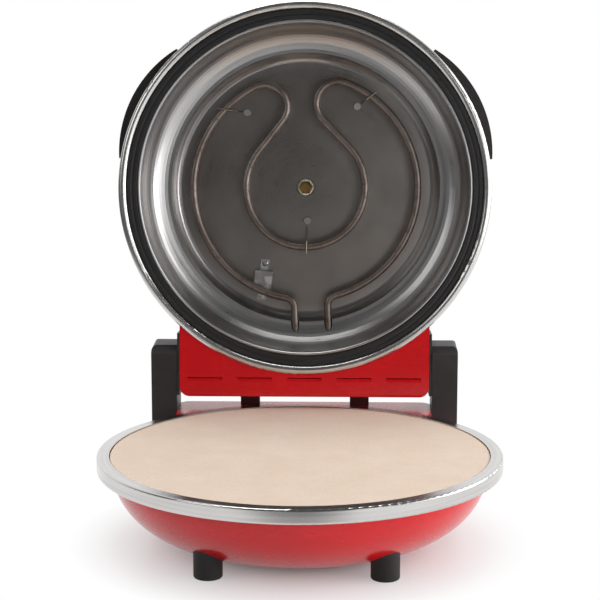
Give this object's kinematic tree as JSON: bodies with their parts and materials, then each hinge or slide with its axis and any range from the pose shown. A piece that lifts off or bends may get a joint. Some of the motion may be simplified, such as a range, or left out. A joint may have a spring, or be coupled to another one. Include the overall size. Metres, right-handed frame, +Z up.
{
  "type": "electric pizza maker",
  "caption": "Round countertop pizza oven, open: stone in a red bowl, hinged red lid with steel reflector, bent tube element, black hinge arms and side grips.",
  "frame": {"origin": "centre of the bounding box at table level, with the lid open", "axes": "+X to the object's right seen from the front, +Y to the hinge at the rear, +Z up"},
  "size_m": [0.3516, 0.4364, 0.4566],
  "materials": {
    "red_enamel": "gloss",
    "polished_steel": "polished",
    "reflector_steel": "polished",
    "aluminised_steel": "satin",
    "stone": "matte",
    "element_sheath": "satin",
    "ceramic": "matte",
    "black_plastic": "satin",
    "black_rubber": "matte",
    "seal_black": "matte",
    "zinc_steel": "satin",
    "brass": "polished",
    "grey_steel": "matte",
    "lead_sleeve": "matte",
    "maroon_plastic": "satin",
    "dial_metal": "satin",
    "amber_lens": "gloss",
    "pointer_white": "matte"
  },
  "bodies": {
    "base": {"base_shell": "red_enamel", "base_rim_ring": "polished_steel", "heat_tray": "aluminised_steel", "baking_stone": "stone", "lower_element": "element_sheath", "lower_element_bushings": "grey_steel", "lower_element_saddles": "zinc_steel", "foot_front_left": "black_rubber", "foot_front_right": "black_rubber", "foot_rear_left": "black_rubber", "foot_rear_right": "black_rubber", "foot_screws": "zinc_steel", "base_housing": "red_enamel", "base_housing_cover": "grey_steel", "housing_cover_screws": "zinc_steel", "cord_gland": "black_rubber", "terminal_block": "ceramic", "earth_screw": "brass", "base_leads": "lead_sleeve", "hinge_arm_left": "black_plastic", "hinge_arm_right": "black_plastic", "arm_cover_left": "black_plastic", "arm_cover_right": "black_plastic", "hinge_pin_left": "zinc_steel", "hinge_pin_right": "zinc_steel", "arm_screws": "zinc_steel"},
    "lid": {"lid_shell": "red_enamel", "lid_rim_ring": "polished_steel", "lid_seal": "seal_black", "reflector": "reflector_steel", "upper_element": "element_sheath", "upper_element_bushings": "grey_steel", "element_hooks": "zinc_steel", "hook_screws": "zinc_steel", "fuse_clamp": "aluminised_steel", "clamp_rivets": "zinc_steel", "thermal_fuse": "ceramic", "thermostat_body": "ceramic", "sensor_nut": "brass", "lid_housing": "red_enamel", "lid_housing_cover": "red_enamel", "lid_cover_screws": "zinc_steel", "hinge_cheek_left": "black_plastic", "hinge_cheek_right": "black_plastic", "lid_stops": "maroon_plastic", "stop_screws": "zinc_steel", "grip_left": "black_plastic", "grip_right": "black_plastic", "grip_screws": "zinc_steel", "dial_plate": "dial_metal", "pilot_lens": "amber_lens", "pilot_lamp": "ceramic", "lid_leads": "lead_sleeve"},
    "knob": {"thermostat_spindle": "zinc_steel", "thermostat_knob": "black_plastic", "knob_pointer": "pointer_white"}
  },
  "joints": [
    {"name": "lid_hinge", "type": "hinge", "parent": "base", "child": "lid", "pos_m": [0, 0.13471, 0.103], "axis": [1, 0, 0], "range_deg": [0, 95.5]},
    {"name": "thermostat_turn", "type": "hinge", "parent": "lid", "child": "knob", "pos_m": [0, 0.19787, 0.27685], "axis": [0, -0.9954, 0.0958], "range_deg": [0, 270]}
  ]
}
